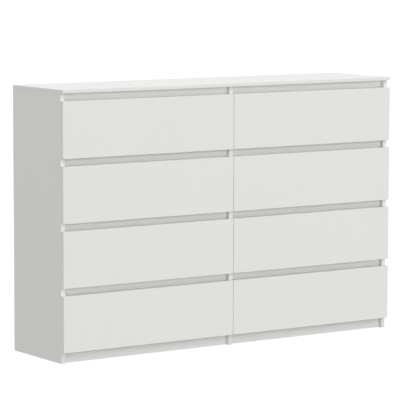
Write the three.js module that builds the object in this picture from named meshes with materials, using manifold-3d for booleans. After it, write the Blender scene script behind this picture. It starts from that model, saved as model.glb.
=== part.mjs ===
// Low, wide chest of eight drawers in two columns, made of white foiled board.
// Millimetres, +Z up. X runs along the width, the drawer fronts face -Y.
// The origin is on the floor, in the middle of the chest's footprint.
import * as THREE from "three";
import { mergeVertices } from "three/addons/utils/BufferGeometryUtils.js";
import Module from "manifold-3d";

// Overall size
const WIDTH = 1400;
const DEPTH = 340;
const HEIGHT = 935;

// Boards
const TOP_T = 12; // top panel
const BOARD_T = 16; // sides, divider, rails, plinths
const FRONT_T = 16; // drawer fronts
const BACK_T = 3; // hardboard back
const BACK_RECESS = 1; // outer face of the hardboard in front of the carcass's rear edges
const BACK_INSET = 2; // hardboard's lower edge above the floor

// Rebate in the rear edges of the sides and the top, in which the hardboard sits
const REBATE_W_SIDE = 8; // of the side panel's thickness
const REBATE_W_TOP = 5; // of the top panel's thickness
const REBATE_PLAY = 0.5; // between the hardboard's edge and the rebate's wall

// Drawer fronts: four rows, each with an open grip gap above it
const ROWS = 4;
const GRIP_GAP = 26;
const FRONT_H = 195;
const FRONT_PITCH = FRONT_H + GRIP_GAP;
const FRONT_FLOOR = HEIGHT - TOP_T - ROWS * FRONT_PITCH; // below the lowest front
const SEAM = 2; // between the two columns of fronts
const FRONT_CLEAR = 1; // between a closed front and the carcass behind it

// Carcass
const RAIL_SETBACK = 16; // rails and plinths behind the side panels' front edges
const RAIL_ABOVE = 8; // a rail reaches this far above the lower edge of the front over it
const RAIL_BELOW = 16; // and this far below the upper edge of the front under it

// Drawer boxes: one folded wrap (two sides and the back), and a hardboard bottom
const SIDE_CLEAR = 6; // between the box and the carcass on each side
const WRAP_T = 14;
const WRAP_L = 300;
const WRAP_H = 148;
const WRAP_LIFT = 14; // box above the lower edge of its front
const BOTTOM_T = 3;
const BOTTOM_LIFT = 10; // bottom's groove above the lower edge of the wrap
const BOTTOM_GROOVE_D = 6.5;
const BOTTOM_GROOVE_H = 3.4;
const BOTTOM_IN = 6; // how far the bottom goes into its grooves

// Runners: strips screwed to the carcass, which run in grooves in the box sides
const RUNNER_GROOVE_Z = 70.5; // groove's middle above the lower edge of the wrap
const RUNNER_GROOVE_H = 17;
const RUNNER_GROOVE_D = 8;
const RUNNER_BASE_H = 26;
const RUNNER_BASE_T = 3;
const RUNNER_RIB_H = 16;
const RUNNER_RIB_REACH = 13; // from the panel to the rib's edge
const RUNNER_L = 290;
const RUNNER_SETBACK = 5; // behind the side panels' front edges
const RUNNER_NOSE = 2.5; // chamfer that leads the box onto the rib

// Planes
const Y_FRONT = -DEPTH / 2;
const Y_BACK = DEPTH / 2;
const Y_FRONT_REAR = Y_FRONT + FRONT_T;
const Y_EDGE = Y_FRONT_REAR + FRONT_CLEAR; // front edges of sides and divider
const Y_CARCASS_REAR = Y_BACK - BACK_RECESS - BACK_T; // rebate's floor, rear of the divider
const Y_RAIL = Y_EDGE + RAIL_SETBACK;
const Z_TOP = HEIGHT - TOP_T;
const X_SIDE = WIDTH / 2;
const X_IN = X_SIDE - BOARD_T; // inner face of a side panel
const X_DIV = BOARD_T / 2; // faces of the divider

const wasm = await Module();
wasm.setup();

const board = new THREE.MeshStandardMaterial({ color: 0xf1f0ee, roughness: 0.42, metalness: 0 });
const frontFoil = new THREE.MeshStandardMaterial({ color: 0xf3f2f0, roughness: 0.38, metalness: 0 });
const wrapFoil = new THREE.MeshStandardMaterial({ color: 0xeceae6, roughness: 0.55, metalness: 0 });
const hardboard = new THREE.MeshStandardMaterial({ color: 0xe9e6e0, roughness: 0.6, metalness: 0 });
const runnerPlastic = new THREE.MeshStandardMaterial({ color: 0xdcdcda, roughness: 0.35, metalness: 0 });

// A box between two corners.
function block(x0, x1, y0, y1, z0, z1) {
  const g = new THREE.BoxGeometry(x1 - x0, y1 - y0, z1 - z0);
  g.translate((x0 + x1) / 2, (y0 + y1) / 2, (z0 + z1) / 2);
  return g;
}

// A closed outline in the plane of X and Z, extruded along Y.
function prismY(points, y0, y1) {
  const shape = new THREE.Shape(points.map(([x, z]) => new THREE.Vector2(x, z)));
  const g = new THREE.ExtrudeGeometry(shape, { depth: y1 - y0, bevelEnabled: false });
  g.rotateX(Math.PI / 2); // (x, y, z) -> (x, -z, y)
  g.translate(0, y1, 0);
  return g;
}

function solid(geometry) {
  const g = geometry.clone();
  g.deleteAttribute("normal");
  g.deleteAttribute("uv");
  const m = mergeVertices(g, 1e-4);
  return new wasm.Manifold(
    new wasm.Mesh({
      numProp: 3,
      vertProperties: new Float32Array(m.attributes.position.array),
      triVerts: new Uint32Array(m.index.array),
    }),
  );
}

function geometryOf(made) {
  const m = made.getMesh();
  const g = new THREE.BufferGeometry();
  g.setAttribute("position", new THREE.BufferAttribute(new Float32Array(m.vertProperties), 3));
  g.setIndex(new THREE.BufferAttribute(new Uint32Array(m.triVerts), 1));
  const flat = g.toNonIndexed();
  flat.computeVertexNormals();
  return flat;
}

function cut(base, ...tools) {
  let made = solid(base);
  for (const t of tools) made = made.subtract(solid(t));
  return geometryOf(made);
}

const chest = new THREE.Group();

function add(group, name, geometry, material) {
  const mesh = new THREE.Mesh(geometry, material.clone());
  mesh.name = name;
  group.add(mesh);
  return mesh;
}

const carcass = new THREE.Group();
chest.add(carcass);

add(
  carcass,
  "top_panel",
  cut(
    block(-X_SIDE, X_SIDE, Y_FRONT, Y_BACK, Z_TOP, HEIGHT),
    block(
      -X_IN - REBATE_W_SIDE,
      X_IN + REBATE_W_SIDE,
      Y_CARCASS_REAR,
      Y_BACK + 5,
      Z_TOP - 5,
      Z_TOP + REBATE_W_TOP,
    ),
  ),
  board,
);
add(
  carcass,
  "side_panel_left",
  cut(
    block(-X_SIDE, -X_IN, Y_EDGE, Y_BACK, 0, Z_TOP),
    block(-X_IN - REBATE_W_SIDE, -X_IN + 5, Y_CARCASS_REAR, Y_BACK + 5, -5, Z_TOP + 5),
  ),
  board,
);
add(
  carcass,
  "side_panel_right",
  cut(
    block(X_IN, X_SIDE, Y_EDGE, Y_BACK, 0, Z_TOP),
    block(X_IN - 5, X_IN + REBATE_W_SIDE, Y_CARCASS_REAR, Y_BACK + 5, -5, Z_TOP + 5),
  ),
  board,
);
add(carcass, "centre_divider", block(-X_DIV, X_DIV, Y_EDGE, Y_CARCASS_REAR, 0, Z_TOP), board);

// Lower edge of the front in row 1 (top) to ROWS (bottom).
const frontZ = (row) => FRONT_FLOOR + (ROWS - row) * FRONT_PITCH;

// Each column is built left of the middle and placed by its sign: -1 left, +1 right.
for (const [column, sign] of [
  ["left", -1],
  ["right", 1],
]) {
  // Distances from the middle plane, turned into X for this column.
  const slab = (near, far, y0, y1, z0, z1) =>
    sign < 0 ? block(-far, -near, y0, y1, z0, z1) : block(near, far, y0, y1, z0, z1);

  add(
    carcass,
    "plinth_" + column,
    slab(X_DIV, X_IN, Y_RAIL, Y_RAIL + BOARD_T, 0, FRONT_FLOOR + RAIL_ABOVE),
    board,
  );
  add(
    carcass,
    "rear_stretcher_" + column,
    slab(X_DIV, X_IN, Y_CARCASS_REAR - BOARD_T, Y_CARCASS_REAR, 0, FRONT_FLOOR + RAIL_ABOVE),
    board,
  );
  add(
    carcass,
    "back_panel_" + column,
    slab(
      REBATE_PLAY,
      X_IN + REBATE_W_SIDE - REBATE_PLAY,
      Y_CARCASS_REAR,
      Y_CARCASS_REAR + BACK_T,
      BACK_INSET,
      Z_TOP + REBATE_W_TOP - REBATE_PLAY,
    ),
    hardboard,
  );

  for (let row = 1; row <= ROWS; row++) {
    const z = frontZ(row);
    const railTop = row === 1 ? Z_TOP : frontZ(row - 1) + RAIL_ABOVE;
    add(
      carcass,
      "grip_rail_" + column + "_" + row,
      slab(X_DIV, X_IN, Y_RAIL, Y_RAIL + BOARD_T, z + FRONT_H - RAIL_BELOW, railTop),
      board,
    );

    // Box outline, measured from the middle plane
    const near = X_DIV + SIDE_CLEAR;
    const far = X_IN - SIDE_CLEAR;
    const y0 = Y_FRONT_REAR;
    const y1 = Y_FRONT_REAR + WRAP_L;
    const z0 = z + WRAP_LIFT;
    const zb = z0 + BOTTOM_LIFT;
    const zr = z0 + RUNNER_GROOVE_Z;

    const drawer = new THREE.Group();
    chest.add(drawer);

    add(
      drawer,
      "drawer_front_" + column + "_" + row,
      cut(
        slab(SEAM / 2, X_SIDE, Y_FRONT, Y_FRONT_REAR, z, z + FRONT_H),
        slab(
          near + WRAP_T - BOTTOM_GROOVE_D,
          far - WRAP_T + BOTTOM_GROOVE_D,
          Y_FRONT_REAR - BOTTOM_GROOVE_D,
          Y_FRONT_REAR + 5,
          zb,
          zb + BOTTOM_GROOVE_H,
        ),
      ),
      frontFoil,
    );

    add(
      drawer,
      "drawer_wrap_" + column + "_" + row,
      cut(
        slab(near, far, y0, y1, z0, z0 + WRAP_H),
        // inside of the drawer
        slab(near + WRAP_T, far - WRAP_T, y0 - 5, y1 - WRAP_T, z0 - 5, z0 + WRAP_H + 5),
        // groove for the bottom, round all three walls
        slab(
          near + WRAP_T - BOTTOM_GROOVE_D,
          far - WRAP_T + BOTTOM_GROOVE_D,
          y0 - 5,
          y1 - WRAP_T + BOTTOM_GROOVE_D,
          zb,
          zb + BOTTOM_GROOVE_H,
        ),
        // runner grooves, open at both ends
        slab(
          near - 5,
          near + RUNNER_GROOVE_D,
          y0 - 5,
          y1 + 5,
          zr - RUNNER_GROOVE_H / 2,
          zr + RUNNER_GROOVE_H / 2,
        ),
        slab(
          far - RUNNER_GROOVE_D,
          far + 5,
          y0 - 5,
          y1 + 5,
          zr - RUNNER_GROOVE_H / 2,
          zr + RUNNER_GROOVE_H / 2,
        ),
      ),
      wrapFoil,
    );

    const play = (BOTTOM_GROOVE_H - BOTTOM_T) / 2;
    add(
      drawer,
      "drawer_bottom_" + column + "_" + row,
      slab(
        near + WRAP_T - BOTTOM_IN,
        far - WRAP_T + BOTTOM_IN,
        y0 - BOTTOM_IN,
        y1 - WRAP_T + BOTTOM_IN,
        zb + play,
        zb + play + BOTTOM_T,
      ),
      hardboard,
    );

    // Runner strips: a base against the panel and a rib that reaches into the groove
    for (const [place, panel, into] of [
      ["outer", X_IN, -1],
      ["inner", X_DIV, 1],
    ]) {
      const at = (reach, dz) => [sign * (panel + into * reach), zr + dz];
      const outline = [
        at(0, -RUNNER_BASE_H / 2),
        at(RUNNER_BASE_T, -RUNNER_BASE_H / 2),
        at(RUNNER_BASE_T, -RUNNER_RIB_H / 2),
        at(RUNNER_RIB_REACH, -RUNNER_RIB_H / 2),
        at(RUNNER_RIB_REACH, RUNNER_RIB_H / 2),
        at(RUNNER_BASE_T, RUNNER_RIB_H / 2),
        at(RUNNER_BASE_T, RUNNER_BASE_H / 2),
        at(0, RUNNER_BASE_H / 2),
      ];
      if (sign * into < 0) outline.reverse();
      const ya = Y_EDGE + RUNNER_SETBACK;
      const yb = ya + RUNNER_L;
      // the chamfered nose: a wedge taken off the rib's inner corner at the front end
      const tip = RUNNER_RIB_REACH;
      const wedge = new THREE.Shape([
        new THREE.Vector2(sign * (panel + into * (tip - RUNNER_NOSE)), ya - 1),
        new THREE.Vector2(sign * (panel + into * (tip + 1)), ya - 1),
        new THREE.Vector2(sign * (panel + into * (tip + 1)), ya + 3 * RUNNER_NOSE),
      ]);
      const wedgeG = new THREE.ExtrudeGeometry(wedge, { depth: 2 * RUNNER_BASE_H, bevelEnabled: false });
      wedgeG.translate(0, 0, zr - RUNNER_BASE_H);
      add(
        carcass,
        "runner_" + column + "_" + row + "_" + place,
        cut(prismY(outline, ya, yb), wedgeG),
        runnerPlastic,
      );
    }
  }
}

export default chest;
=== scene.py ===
# Looks, light and camera for the eight-drawer chest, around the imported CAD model.
# Metres, +Z up, drawer fronts face -Y.
import math

import bmesh
import bpy
from mathutils import Matrix, Vector


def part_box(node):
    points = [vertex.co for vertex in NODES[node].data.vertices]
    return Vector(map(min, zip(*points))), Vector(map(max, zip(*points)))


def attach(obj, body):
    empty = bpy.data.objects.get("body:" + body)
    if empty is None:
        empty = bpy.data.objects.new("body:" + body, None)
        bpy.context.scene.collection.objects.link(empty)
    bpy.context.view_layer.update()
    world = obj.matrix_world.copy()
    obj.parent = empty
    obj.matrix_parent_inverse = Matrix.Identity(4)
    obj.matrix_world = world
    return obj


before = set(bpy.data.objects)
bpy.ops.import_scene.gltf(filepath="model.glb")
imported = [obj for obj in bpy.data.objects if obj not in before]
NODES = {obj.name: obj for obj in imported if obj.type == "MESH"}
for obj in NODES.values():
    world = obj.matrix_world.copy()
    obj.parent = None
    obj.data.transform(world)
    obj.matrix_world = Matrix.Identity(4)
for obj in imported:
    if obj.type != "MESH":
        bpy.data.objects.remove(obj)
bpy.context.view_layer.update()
COLUMNS = ("left", "right")
ROWS = (1, 2, 3, 4)
MM = 0.001

ALBEDO = 0.92
SKY_ABOVE = 0.912
SKY_BELOW = 0.152
KEYS = [(0, 0, 40, 0.200), (0, -40, 40, 0.097)]

scene = bpy.context.scene
scene.view_settings.view_transform = "Standard"
scene.view_settings.look = "None"
scene.view_settings.exposure = 0.0
scene.view_settings.gamma = 1.0


# ---------------------------------------------------------------- camera
def make_camera():
    data = bpy.data.cameras.new("camera")
    cam = bpy.data.objects.new("camera", data)
    scene.collection.objects.link(cam)
    data.type = "PERSP"
    data.sensor_fit = "AUTO"
    data.sensor_width = 36.0
    data.lens = 2371.46 * 36.0 / 400.0
    data.clip_start, data.clip_end = 0.1, 400.0
    yaw, pitch, roll = 0.59453, 0.11143, 0.0024
    ahead = Vector(
        (
            math.sin(yaw) * math.cos(pitch),
            math.cos(yaw) * math.cos(pitch),
            -math.sin(pitch),
        )
    )
    right = Vector((math.cos(yaw), -math.sin(yaw), 0.0))
    up = right.cross(ahead)
    r = right * math.cos(roll) + up * math.sin(roll)
    u = up * math.cos(roll) - right * math.sin(roll)
    m = Matrix((r, u, -ahead)).transposed().to_4x4()
    m.translation = Vector((-4.76997, -7.01193, 1.45449))
    cam.matrix_world = m
    scene.camera = cam
    return cam


make_camera()


# ---------------------------------------------------------------- node helpers
def fresh(name):
    m = bpy.data.materials.new(name)
    m.use_nodes = True
    nt = m.node_tree
    nt.nodes.clear()
    out = nt.nodes.new("ShaderNodeOutputMaterial")
    b = nt.nodes.new("ShaderNodeBsdfPrincipled")
    nt.links.new(b.outputs["BSDF"], out.inputs["Surface"])
    return m, nt, b


def node(nt, kind, **values):
    n = nt.nodes.new(kind)
    for k, v in values.items():
        if k.startswith("_"):
            setattr(n, k[1:], v)
        else:
            n.inputs[k.replace("__", " ")].default_value = v
    return n


def link(nt, a, b):
    nt.links.new(a, b)


def noise(nt, coords, scale, detail=2.0, rough=0.5, w=None):
    n = nt.nodes.new("ShaderNodeTexNoise")
    if w is not None:
        n.noise_dimensions = "4D"
        n.inputs["W"].default_value = w
    n.inputs["Scale"].default_value = scale
    n.inputs["Detail"].default_value = detail
    n.inputs["Roughness"].default_value = rough
    link(nt, coords, n.inputs["Vector"])
    return n.outputs["Fac"]


def ramp(nt, fac, *stops):
    n = nt.nodes.new("ShaderNodeValToRGB")
    while len(n.color_ramp.elements) < len(stops):
        n.color_ramp.elements.new(0.5)
    for e, (p, c) in zip(n.color_ramp.elements, stops):
        e.position = p
        e.color = c if len(c) == 4 else (*c, 1.0)
    link(nt, fac, n.inputs["Fac"])
    return n.outputs["Color"]


def mix(nt, fac, a, b):
    n = nt.nodes.new("ShaderNodeMix")
    n.data_type = "RGBA"
    n.clamp_factor = True
    if isinstance(fac, float):
        n.inputs[0].default_value = fac
    else:
        link(nt, fac, n.inputs[0])
    for socket, v in ((n.inputs[6], a), (n.inputs[7], b)):
        if isinstance(v, tuple):
            socket.default_value = v if len(v) == 4 else (*v, 1.0)
        else:
            link(nt, v, socket)
    return n.outputs[2]


def math_node(nt, op, a, b=None, clamp=False):
    n = nt.nodes.new("ShaderNodeMath")
    n.operation = op
    n.use_clamp = clamp
    for i, v in enumerate((a, b)):
        if v is None:
            continue
        if isinstance(v, (int, float)):
            n.inputs[i].default_value = v
        else:
            link(nt, v, n.inputs[i])
    return n.outputs[0]


def spread(nt, fac, lo, hi):
    n = nt.nodes.new("ShaderNodeMapRange")
    n.inputs["To Min"].default_value = lo
    n.inputs["To Max"].default_value = hi
    link(nt, fac, n.inputs["Value"])
    return n.outputs[0]


def bump(nt, height, distance, strength=1.0, normal=None):
    n = nt.nodes.new("ShaderNodeBump")
    n.inputs["Strength"].default_value = strength
    n.inputs["Distance"].default_value = distance
    link(nt, height, n.inputs["Height"])
    if normal is not None:
        link(nt, normal, n.inputs["Normal"])
    return n.outputs["Normal"]


def coords_of(nt):
    tc = nt.nodes.new("ShaderNodeTexCoord")
    return tc.outputs["Object"], tc.outputs["Normal"]


def facing(nt, normal, *directions):
    """1 on faces whose normal is along one of the directions, such as "+y" or "-z"."""
    sep = nt.nodes.new("ShaderNodeSeparateXYZ")
    link(nt, normal, sep.inputs[0])
    total = None
    for d in directions:
        v = sep.outputs["XYZ".index(d[1].upper())]
        if d[0] == "-":
            v = math_node(nt, "MULTIPLY", v, -1.0)
        m = math_node(nt, "GREATER_THAN", v, 0.72)
        total = m if total is None else math_node(nt, "MAXIMUM", total, m)
    return total


def chipboard(nt, obj):
    """Colour and height of the sawn edge of chipboard."""
    vor = nt.nodes.new("ShaderNodeTexVoronoi")
    vor.inputs["Scale"].default_value = 520.0
    vor.inputs["Randomness"].default_value = 1.0
    warp = nt.nodes.new("ShaderNodeMapping")
    warp.inputs["Scale"].default_value = (0.55, 0.55, 1.0)
    link(nt, obj, warp.inputs["Vector"])
    link(nt, warp.outputs[0], vor.inputs["Vector"])
    sep = nt.nodes.new("ShaderNodeSeparateColor")
    link(nt, vor.outputs["Color"], sep.inputs[0])
    chips = ramp(
        nt,
        sep.outputs[0],
        (0.0, (0.30, 0.19, 0.10)),
        (0.35, (0.46, 0.31, 0.18)),
        (0.7, (0.58, 0.42, 0.26)),
        (1.0, (0.70, 0.55, 0.37)),
    )
    dust = noise(nt, obj, 1800.0, 3.0, 0.6)
    colour = mix(nt, spread(nt, dust, 0.0, 0.5), chips, (0.50, 0.36, 0.22))
    return colour, vor.outputs["Distance"]


# ---------------------------------------------------------------- materials
def melamine(name, tone, raw=(), rough=0.40, seed=0.0):
    """White melamine face with a fine orange peel. raw names the directions of sawn chipboard edges."""
    m, nt, b = fresh(name)
    obj, nrm = coords_of(nt)
    drift = noise(nt, obj, 2.2, 3.0, 0.5, seed)
    cloud = noise(nt, obj, 38.0, 4.0, 0.55, seed + 3.1)
    fleck = noise(nt, obj, 1400.0, 2.0, 0.5, seed + 7.7)
    lo = tuple(c * 0.985 for c in tone)
    hi = tuple(min(1.0, c * 1.012) for c in tone)
    colour = mix(nt, spread(nt, drift, 0.0, 1.0), lo, hi)
    colour = mix(
        nt, spread(nt, cloud, 0.0, 0.10), colour, tuple(c * 0.955 for c in tone)
    )
    colour = mix(
        nt, spread(nt, fleck, 0.0, 0.06), colour, tuple(c * 0.90 for c in tone)
    )
    peel = noise(nt, obj, 620.0, 3.0, 0.55, seed + 1.3)
    sweep = noise(nt, obj, 9.0, 2.0, 0.5, seed + 5.0)
    n1 = bump(nt, sweep, 0.0009, 0.10)
    n2 = bump(nt, peel, 0.00006, 0.55, n1)
    roughness = spread(nt, cloud, rough - 0.05, rough + 0.07)
    if raw:
        edge = facing(nt, nrm, *raw)
        core, depth = chipboard(nt, obj)
        colour = mix(nt, edge, colour, core)
        roughness = math_node(
            nt, "ADD", roughness, math_node(nt, "MULTIPLY", edge, 0.45), True
        )
        n3 = bump(nt, math_node(nt, "MULTIPLY", depth, edge), 0.0006, 0.8, n2)
        link(nt, n3, b.inputs["Normal"])
    else:
        link(nt, n2, b.inputs["Normal"])
    link(nt, colour, b.inputs["Base Color"])
    link(nt, roughness, b.inputs["Roughness"])
    b.inputs["IOR"].default_value = 1.48
    b.inputs["Coat Weight"].default_value = 0.06
    b.inputs["Coat Roughness"].default_value = 0.28
    return m


def hardboard(name, raw):
    """Thin hardboard, white lacquer with a faint fibre, brown pressed fibre on the faces named by raw."""
    m, nt, b = fresh(name)
    obj, nrm = coords_of(nt)
    fibre = noise(nt, obj, 900.0, 5.0, 0.65)
    cloud = noise(nt, obj, 14.0, 4.0, 0.6)
    stretch = nt.nodes.new("ShaderNodeMapping")
    stretch.inputs["Scale"].default_value = (40.0, 400.0, 400.0)
    link(nt, obj, stretch.inputs["Vector"])
    strand = noise(nt, stretch.outputs[0], 1.0, 4.0, 0.6)
    white = mix(
        nt, spread(nt, cloud, 0.0, 1.0), (0.735, 0.725, 0.70), (0.77, 0.762, 0.742)
    )
    brown = mix(
        nt, spread(nt, cloud, 0.0, 1.0), (0.270, 0.170, 0.098), (0.345, 0.225, 0.135)
    )
    brown = mix(nt, spread(nt, strand, 0.0, 0.45), brown, (0.42, 0.29, 0.18))
    brown = mix(nt, spread(nt, fibre, 0.0, 0.35), brown, (0.19, 0.115, 0.064))
    back = facing(nt, nrm, *raw)
    colour = mix(nt, back, white, brown)
    rough = math_node(
        nt,
        "ADD",
        spread(nt, fibre, 0.42, 0.58),
        math_node(nt, "MULTIPLY", back, 0.22),
        True,
    )
    link(nt, colour, b.inputs["Base Color"])
    link(nt, rough, b.inputs["Roughness"])
    link(nt, bump(nt, fibre, 0.00012, 0.7), b.inputs["Normal"])
    b.inputs["IOR"].default_value = 1.46
    return m


def linen_foil(name):
    """Matt white paper foil with a fine linen emboss, on the drawer boxes."""
    m, nt, b = fresh(name)
    obj, nrm = coords_of(nt)
    waves = []
    for axis, scale in (("X", 640.0), ("Y", 640.0), ("Z", 640.0)):
        w = nt.nodes.new("ShaderNodeTexWave")
        w.wave_type = "BANDS"
        w.bands_direction = axis
        w.inputs["Scale"].default_value = scale / 6.2832
        w.inputs["Distortion"].default_value = 1.4
        w.inputs["Detail"].default_value = 2.0
        w.inputs["Detail Scale"].default_value = 3.0
        link(nt, obj, w.inputs["Vector"])
        waves.append(w.outputs["Fac"])
    weave = math_node(
        nt,
        "MULTIPLY",
        math_node(nt, "ADD", math_node(nt, "ADD", waves[0], waves[1]), waves[2]),
        0.333,
    )
    cloud = noise(nt, obj, 22.0, 4.0, 0.6)
    thread = noise(nt, obj, 1500.0, 3.0, 0.6)
    colour = mix(
        nt, spread(nt, cloud, 0.0, 1.0), (0.725, 0.712, 0.685), (0.765, 0.755, 0.730)
    )
    colour = mix(nt, spread(nt, weave, 0.0, 0.10), colour, (0.62, 0.60, 0.57))
    # the mitre that each fold leaves on the upper and lower edges, from the outer to the inner corner
    lo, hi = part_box("drawer_wrap_right_1")
    middle, half = (lo.x + hi.x) / 2, (hi.x - lo.x) / 2
    sep = nt.nodes.new("ShaderNodeSeparateXYZ")
    link(nt, obj, sep.inputs[0])
    across = math_node(nt, "ABSOLUTE", math_node(nt, "SUBTRACT", math_node(nt, "ABSOLUTE", sep.outputs[0]), middle))
    off = math_node(nt, "SUBTRACT", math_node(nt, "SUBTRACT", across, sep.outputs[1]), half - hi.y)
    line = math_node(nt, "LESS_THAN", math_node(nt, "ABSOLUTE", off), 0.22 * MM)
    line = math_node(nt, "MULTIPLY", line, math_node(nt, "GREATER_THAN", sep.outputs[1], hi.y - 15 * MM))
    line = math_node(nt, "MULTIPLY", line, facing(nt, nrm, "+z", "-z"))
    colour = mix(nt, math_node(nt, "MULTIPLY", line, 0.65), colour, (0.30, 0.25, 0.20))
    link(nt, colour, b.inputs["Base Color"])
    link(nt, spread(nt, thread, 0.46, 0.62), b.inputs["Roughness"])
    n1 = bump(nt, weave, 0.00008, 0.6)
    link(nt, bump(nt, math_node(nt, "SUBTRACT", 1.0, line), 0.0002, 0.8, n1), b.inputs["Normal"])
    b.inputs["IOR"].default_value = 1.46
    return m


def moulded_plastic(name, tone, rough=0.36):
    m, nt, b = fresh(name)
    obj, nrm = coords_of(nt)
    cloud = noise(nt, obj, 30.0, 3.0, 0.5)
    grain = noise(nt, obj, 2600.0, 3.0, 0.6)
    flow = noise(nt, obj, 120.0, 3.0, 0.5)
    colour = mix(
        nt, spread(nt, cloud, 0.0, 1.0), tuple(c * 0.95 for c in tone), tone
    )
    link(nt, colour, b.inputs["Base Color"])
    link(nt, spread(nt, flow, rough - 0.06, rough + 0.08), b.inputs["Roughness"])
    link(nt, bump(nt, grain, 0.00003, 0.5), b.inputs["Normal"])
    b.inputs["IOR"].default_value = 1.49
    b.inputs["Subsurface Weight"].default_value = 0.08
    b.inputs["Subsurface Radius"].default_value = (0.004, 0.004, 0.004)
    return m


def zinc(name, tone=(0.66, 0.66, 0.65), rough=0.34):
    m, nt, b = fresh(name)
    obj, nrm = coords_of(nt)
    spangle = noise(nt, obj, 420.0, 4.0, 0.6)
    scratch = noise(nt, obj, 1900.0, 3.0, 0.6)
    colour = mix(
        nt, spread(nt, spangle, 0.0, 1.0), tuple(c * 0.86 for c in tone), tone
    )
    link(nt, colour, b.inputs["Base Color"])
    link(nt, spread(nt, spangle, rough - 0.08, rough + 0.12), b.inputs["Roughness"])
    link(nt, bump(nt, scratch, 0.00003, 0.5), b.inputs["Normal"])
    b.inputs["Metallic"].default_value = 1.0
    return m


WHITE = (ALBEDO, ALBEDO * 0.997, ALBEDO * 0.974)
FRONT_WHITE = (ALBEDO, ALBEDO * 0.998, ALBEDO * 0.976)
MAT_TOP = melamine("melamine_top", WHITE, raw=("+y",), seed=1.0)
MAT_UPRIGHT = melamine("melamine_upright", WHITE, raw=("-z", "+z", "+y"), seed=2.0)
MAT_RAIL = melamine("melamine_rail", WHITE, raw=("-z", "+z"), seed=3.0)
MAT_FRONT = melamine("melamine_front", FRONT_WHITE, rough=0.38, seed=4.0)
MAT_BACK = hardboard("hardboard_back", raw=("+y", "-z", "+z", "+x", "-x"))
MAT_BOTTOM = hardboard("hardboard_bottom", raw=("-z", "+y", "-y", "+x", "-x"))
MAT_FOIL = linen_foil("foil_drawer_box")
MAT_RUNNER = moulded_plastic("plastic_runner", (0.70, 0.70, 0.685))
MAT_ZINC = zinc("zinc_fittings")
MAT_NAIL = zinc("steel_nails", (0.50, 0.49, 0.47), 0.42)
MAT_CAP = moulded_plastic("plastic_caps", (0.78, 0.78, 0.765), 0.32)


def set_material(o, mat):
    if not o.material_slots:
        o.data.materials.append(mat)
    for s in o.material_slots:
        s.material = mat


# ---------------------------------------------------------------- CAD nodes
def ease(o, radius, segments=3):
    """Small rounded arrises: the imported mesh's faces are joined, then bevelled."""
    weld = o.modifiers.new("weld", "WELD")
    weld.merge_threshold = 2e-6
    b = o.modifiers.new("arris", "BEVEL")
    b.width = radius
    b.segments = segments
    b.limit_method = "ANGLE"
    b.angle_limit = math.radians(40)
    b.use_clamp_overlap = True
    b.harden_normals = False


def dress(name, mat, radius):
    o = NODES[name]
    set_material(o, mat)
    ease(o, radius)


dress("top_panel", MAT_TOP, 0.8 * MM)
for n in ("side_panel_left", "side_panel_right", "centre_divider"):
    dress(n, MAT_UPRIGHT, 0.5 * MM)
for c in COLUMNS:
    dress("plinth_" + c, MAT_RAIL, 0.6 * MM)
    dress("rear_stretcher_" + c, MAT_RAIL, 0.6 * MM)
    dress("back_panel_" + c, MAT_BACK, 0.3 * MM)
    for r in ROWS:
        dress(f"grip_rail_{c}_{r}", MAT_RAIL, 0.4 * MM)
        dress(f"drawer_front_{c}_{r}", MAT_FRONT, 0.5 * MM)
        dress(f"drawer_wrap_{c}_{r}", MAT_FOIL, 0.7 * MM)
        dress(f"drawer_bottom_{c}_{r}", MAT_BOTTOM, 0.2 * MM)
        for place in ("outer", "inner"):
            dress(f"runner_{c}_{r}_{place}", MAT_RUNNER, 0.5 * MM)


# ---------------------------------------------------------------- fittings
def slotted_disc(r, h, slot="cross", sides=20, dome=0.0, depth=None, arm=None):
    """A screw or cam head along +Z from z 0 to h, as a closed mesh with a real recess. Returns (vertices, faces)."""
    bm = bmesh.new()
    arm = arm or 0.56 * r
    half = 0.14 * r if slot == "cross" else 0.12 * r
    depth = depth or 0.6 * h
    chamfer = min(0.25 * h, 0.12 * r)
    ring = lambda rr, z: [
        bm.verts.new((rr * math.cos(2 * math.pi * i / sides), rr * math.sin(2 * math.pi * i / sides), z))
        for i in range(sides)
    ]
    base, shoulder, top = ring(r, 0.0), ring(r, h - chamfer), ring(r - chamfer, h)
    for a, b in ((base, shoulder), (shoulder, top)):
        for i in range(sides):
            j = (i + 1) % sides
            bm.faces.new((a[i], a[j], b[j], b[i]))
    bm.faces.new(list(reversed(base)))
    if slot == "cross":
        a, b = arm, half
        pts = [(a, b), (b, b), (b, a), (-b, a), (-b, b), (-a, b), (-a, -b), (-b, -b), (-b, -a), (b, -a), (b, -b), (a, -b)]
    else:
        a, b = arm * 1.3, half
        pts = [(a, b), (-a, b), (-a, -b), (a, -b)]
    rim = [bm.verts.new((x, y, h)) for x, y in pts]
    floor = [bm.verts.new((x * 0.86, y * 0.86, h - depth)) for x, y in pts]
    n = len(pts)
    edges = []
    for loop in (top, rim):
        for i in range(len(loop)):
            a, b = loop[i], loop[(i + 1) % len(loop)]
            edges.append(bm.edges.get((a, b)) or bm.edges.new((a, b)))
    bmesh.ops.triangle_fill(bm, use_beauty=True, use_dissolve=False, edges=edges)
    for i in range(n):
        j = (i + 1) % n
        bm.faces.new((rim[i], rim[j], floor[j], floor[i]))
    bm.faces.new(floor)
    bmesh.ops.recalc_face_normals(bm, faces=bm.faces[:])
    bm.verts.index_update()
    made = [v.co.copy() for v in bm.verts], [[v.index for v in f.verts] for f in bm.faces]
    bm.free()
    return made


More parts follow.
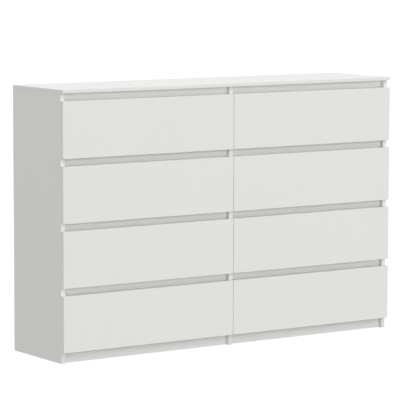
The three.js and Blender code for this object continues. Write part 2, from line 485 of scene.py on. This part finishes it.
def domed_disc(r, h, sides=16, rings=3):
    """A nail head or press-in cap along +Z, closed."""
    verts, faces = [], []
    for k in range(rings):
        t = k / rings
        rr = r * math.cos(t * math.pi / 2) ** 0.6
        z = h * (0.35 + 0.65 * math.sin(t * math.pi / 2))
        for i in range(sides):
            a = 2 * math.pi * i / sides
            verts.append(Vector((rr * math.cos(a), rr * math.sin(a), z)))
    base = len(verts)
    for i in range(sides):
        a = 2 * math.pi * i / sides
        verts.append(Vector((r * math.cos(a), r * math.sin(a), 0.0)))
    tip = len(verts)
    verts.append(Vector((0, 0, h)))
    for i in range(sides):
        j = (i + 1) % sides
        faces.append([base + i, base + j, j, i])
        for k in range(rings - 1):
            faces.append([k * sides + i, k * sides + j, (k + 1) * sides + j, (k + 1) * sides + i])
        faces.append([(rings - 1) * sides + i, (rings - 1) * sides + j, tip])
    faces.append([base + i for i in reversed(range(sides))])
    return verts, faces


def turn_to(direction, spin=0.0):
    return Vector(direction).to_track_quat("Z", "Y").to_matrix().to_4x4() @ Matrix.Rotation(spin, 4, "Z")


def gather(name, items, mat, body):
    """One piece made of many placed shapes. items are ((vertices, faces), matrix)."""
    verts, faces = [], []
    for (vs, fs), m in items:
        start = len(verts)
        verts += [m @ v for v in vs]
        faces += [[start + i for i in f] for f in fs]
    me = bpy.data.meshes.new(name)
    me.from_pydata([tuple(v) for v in verts], [], faces)
    me.update()
    o = bpy.data.objects.new(name, me)
    scene.collection.objects.link(o)
    me.materials.append(mat)
    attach(o, body)
    return o


def spin_of(*key):
    """A repeatable angle for each screw, so that their slots don't line up."""
    v = 0.0
    for k in key:
        v = v * 1.7 + k * 12.9898
    return (math.sin(v) * 43758.5453) % math.pi


CAM = slotted_disc(7.5 * MM, 0.8 * MM, "cross", 28, depth=0.55 * MM)
SCREW = slotted_disc(3.4 * MM, 1.0 * MM, "cross", 18, depth=0.8 * MM)
NAIL = domed_disc(3.0 * MM, 0.55 * MM)

SINK = 0.15 * MM
for c in COLUMNS:
    for r in ROWS:
        body = f"drawer_{c}_{r}"
        lo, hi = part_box(f"drawer_wrap_{c}_{r}")
        wall = 14 * MM
        cams = []
        # cams in the inner faces of the box sides, which pull the front on
        for k, (x, d) in enumerate(((lo.x + wall - SINK, (1, 0, 0)), (hi.x - wall + SINK, (-1, 0, 0)))):
            for q, z in enumerate((lo.z + 42 * MM, lo.z + 112 * MM)):
                m = Matrix.Translation((x, lo.y + 24 * MM, z)) @ turn_to(d, spin_of(r, k, q, c == "left"))
                cams.append((CAM, m))
        gather(f"front_cams_{c}_{r}", cams, MAT_ZINC, body)

# screws through the runner ribs
screws = []
for c in COLUMNS:
    for r in ROWS:
        for place in ("outer", "inner"):
            lo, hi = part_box(f"runner_{c}_{r}_{place}")
            inward = 1 if (c == "left") == (place == "outer") else -1
            x = (hi.x - SINK) if inward > 0 else (lo.x + SINK)
            for k, t in enumerate((0.12, 0.5, 0.88)):
                y = lo.y + t * (hi.y - lo.y)
                m = Matrix.Translation((x, y, (lo.z + hi.z) / 2)) @ turn_to((inward, 0, 0), spin_of(r, k, inward, c == "left"))
                screws.append((SCREW, m))
gather("runner_screws", screws, MAT_ZINC, "carcass")

# nails round the hardboard backs, a little uneven as they are driven by hand
nails = []
for c in COLUMNS:
    lo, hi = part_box("back_panel_" + c)
    edge_in = 4.2 * MM
    y = hi.y - SINK
    shift = 0.5 if c == "left" else 0.0
    count = 9
    step = (hi.z - lo.z - 40 * MM) / count
    for k, x in enumerate((lo.x + edge_in, hi.x - edge_in)):
        at_divider = (k == 1) == (c == "left")
        for i in range(count):
            z = lo.z + 20 * MM + (i + (shift if at_divider else 0.25)) * step
            a = spin_of(i, k, 3 + (c == "left")) / math.pi
            b = spin_of(k, 5 + i, c == "left") / math.pi
            place = (x + (a - 0.5) * 1.4 * MM, y, z + (b - 0.5) * 9 * MM)
            nails.append((NAIL, Matrix.Translation(place) @ turn_to((0, 1, 0))))
    count = 7
    for i in range(1, count):
        for k, z in enumerate((lo.z + 12 * MM, hi.z - 3.4 * MM)):
            a = spin_of(i + 20, k, c == "left") / math.pi
            x = lo.x + i * (hi.x - lo.x) / count + (a - 0.5) * 12 * MM
            nails.append((NAIL, Matrix.Translation((x, y, z)) @ turn_to((0, 1, 0))))
gather("back_nails", nails, MAT_NAIL, "carcass")

# cams in the rear faces of the rails and plinths, which hold them to the uprights
cams = []
for c in COLUMNS:
    for n in [f"grip_rail_{c}_{r}" for r in ROWS] + ["plinth_" + c]:
        lo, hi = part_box(n)
        for k, x in enumerate((lo.x + 34 * MM, hi.x - 34 * MM)):
            m = Matrix.Translation((x, hi.y - SINK, (lo.z + hi.z) / 2)) @ turn_to((0, 1, 0), spin_of(lo.z * 10, k))
            cams.append((CAM, m))
gather("rail_cams", cams, MAT_ZINC, "carcass")


# ---------------------------------------------------------------- light


def make_floor():
    """A plain pale floor. It is seen and takes shadow, and leaves the light from below to the world."""
    me = bpy.data.meshes.new("floor")
    r, n = 40.0, 64
    me.from_pydata([(r * math.cos(2 * math.pi * i / n), r * math.sin(2 * math.pi * i / n), 0) for i in range(n)], [], [list(range(n))])
    o = bpy.data.objects.new("floor", me)
    scene.collection.objects.link(o)
    o.location.z = -0.0005
    m, nt, b = fresh("studio_floor")
    obj, nrm = coords_of(nt)
    tone = noise(nt, obj, 0.6, 2.0, 0.5)
    link(nt, mix(nt, spread(nt, tone, 0.0, 1.0), (0.245, 0.245, 0.245), (0.255, 0.255, 0.255)), b.inputs["Base Color"])
    b.inputs["Roughness"].default_value = 0.9
    b.inputs["Specular IOR Level"].default_value = 0.0
    b.inputs["Emission Color"].default_value = (1.0, 1.0, 1.0, 1.0)
    b.inputs["Emission Strength"].default_value = 0.89
    me.materials.append(m)
    o.visible_diffuse = False
    o.visible_glossy = False
    o.visible_shadow = False
    return o


make_floor()


def make_world():
    """White to the camera. As light: one radiance from above, another from below, with a soft change at the horizon."""
    w = bpy.data.worlds.new("studio")
    scene.world = w
    w.use_nodes = True
    nt = w.node_tree
    nt.nodes.clear()
    out = nt.nodes.new("ShaderNodeOutputWorld")
    seen = nt.nodes.new("ShaderNodeBackground")
    seen.inputs["Color"].default_value = (1, 1, 1, 1)
    seen.inputs["Strength"].default_value = 1.05
    light = nt.nodes.new("ShaderNodeBackground")
    light.inputs["Color"].default_value = (1, 1, 1, 1)
    where = nt.nodes.new("ShaderNodeTexCoord")
    sep = nt.nodes.new("ShaderNodeSeparateXYZ")
    nt.links.new(where.outputs["Generated"], sep.inputs[0])
    rise = nt.nodes.new("ShaderNodeMapRange")
    rise.inputs["From Min"].default_value = -0.05
    rise.inputs["From Max"].default_value = 0.05
    rise.inputs["To Min"].default_value = SKY_BELOW
    rise.inputs["To Max"].default_value = SKY_ABOVE
    nt.links.new(sep.outputs["Z"], rise.inputs["Value"])
    nt.links.new(rise.outputs[0], light.inputs["Strength"])
    path = nt.nodes.new("ShaderNodeLightPath")
    blend = nt.nodes.new("ShaderNodeMixShader")
    nt.links.new(path.outputs["Is Camera Ray"], blend.inputs[0])
    nt.links.new(light.outputs[0], blend.inputs[1])
    nt.links.new(seen.outputs[0], blend.inputs[2])
    nt.links.new(blend.outputs[0], out.inputs["Surface"])


make_world()


def area(name, where, aim, size, watts, colour=(1, 1, 1)):
    d = bpy.data.lights.new(name, "AREA")
    d.shape = "RECTANGLE"
    d.size, d.size_y = size
    d.energy = watts
    d.color = colour
    o = bpy.data.objects.new(name, d)
    scene.collection.objects.link(o)
    o.location = where
    o.rotation_mode = "QUATERNION"
    o.rotation_quaternion = (Vector(aim) - Vector(where)).to_track_quat("-Z", "Y")
    return o


def sun(name, direction, strength, angle, colour=(1, 1, 1)):
    d = bpy.data.lights.new(name, "SUN")
    d.energy = strength
    d.angle = math.radians(angle)
    d.color = colour
    o = bpy.data.objects.new(name, d)
    scene.collection.objects.link(o)
    o.rotation_mode = "QUATERNION"
    o.rotation_quaternion = Vector(direction).to_track_quat("-Z", "Y")
    return o


# very soft keys: elevation and azimuth to the right of the fronts' normal, spread, irradiance / pi
for i, (elevation, azimuth, spread_angle, amount) in enumerate(KEYS):
    e, az = math.radians(elevation), math.radians(azimuth)
    towards = Vector((math.cos(e) * math.sin(az), -math.cos(e) * math.cos(az), math.sin(e)))
    sun(f"key_{i + 1}", -towards, amount * math.pi, spread_angle)

# one softbox near the upper right gives the fronts their slight fall-off to the lower left
area("softbox", (1.0, -2.5, 1.25), (0.0, -0.17, 0.5), (1.2, 1.0), 2.3)
